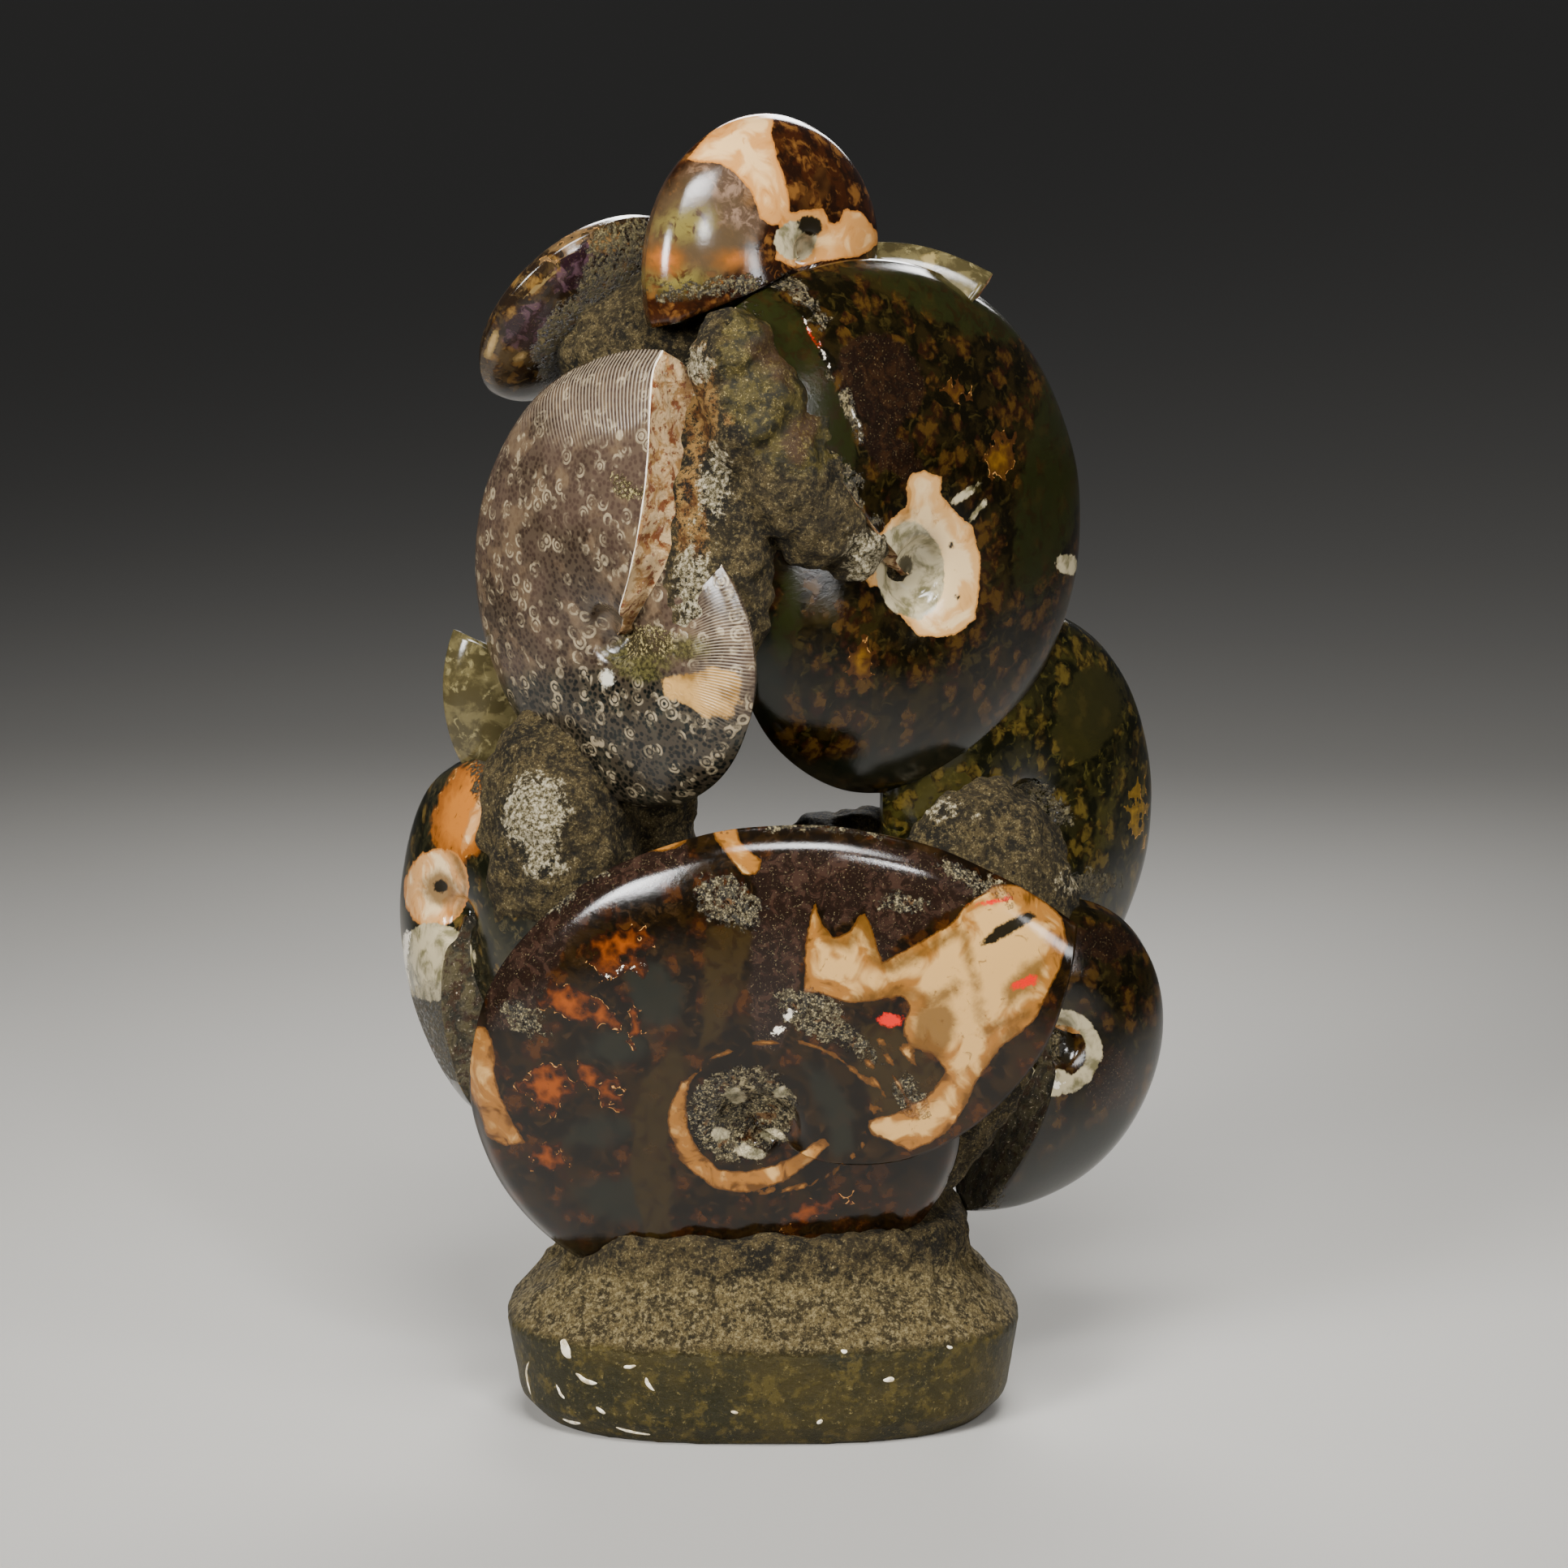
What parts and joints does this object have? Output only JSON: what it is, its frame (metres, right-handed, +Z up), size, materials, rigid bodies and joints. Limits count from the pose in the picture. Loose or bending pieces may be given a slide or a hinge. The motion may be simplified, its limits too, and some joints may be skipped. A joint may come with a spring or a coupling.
{
  "type": "polished ammonite cluster",
  "caption": "Polished ammonite shells set in a block of rock that ends in a cut foot, standing upright, with a small arch through the middle.",
  "frame": {"origin": "middle of the foot's flat underside", "axes": "+Z up, the shown face towards -Y, +X to the right as seen from the front"},
  "size_m": [0.164, 0.1043, 0.2733],
  "materials": {
    "amber": "polished calcite and nacre, amber and cream",
    "plum": "polished plum brown calcite with rock skin",
    "ringed": "polished grey purple shell with pale silica rings",
    "umber": "polished dark olive brown calcite with brown sutures",
    "russet": "polished dark brown calcite with amber sutures",
    "moss": "smooth olive grey calcite",
    "honey": "polished orange and cream calcite",
    "rock": "rough granular sandstone, ground smooth on the foot"
  },
  "bodies": {
    "root": {"rock_matrix": "rock", "crown_ammonite": "amber", "upper_left_ammonite": "plum", "left_cheek_ammonite": "ringed", "right_cheek_ammonite": "umber", "belly_ammonite": "russet", "right_rear_ammonite": "moss", "lower_right_ammonite": "umber", "lower_left_ammonite": "honey", "left_rear_ammonite": "moss", "top_rear_ammonite": "plum", "low_rear_ammonite": "russet"}
  },
  "joints": []
}
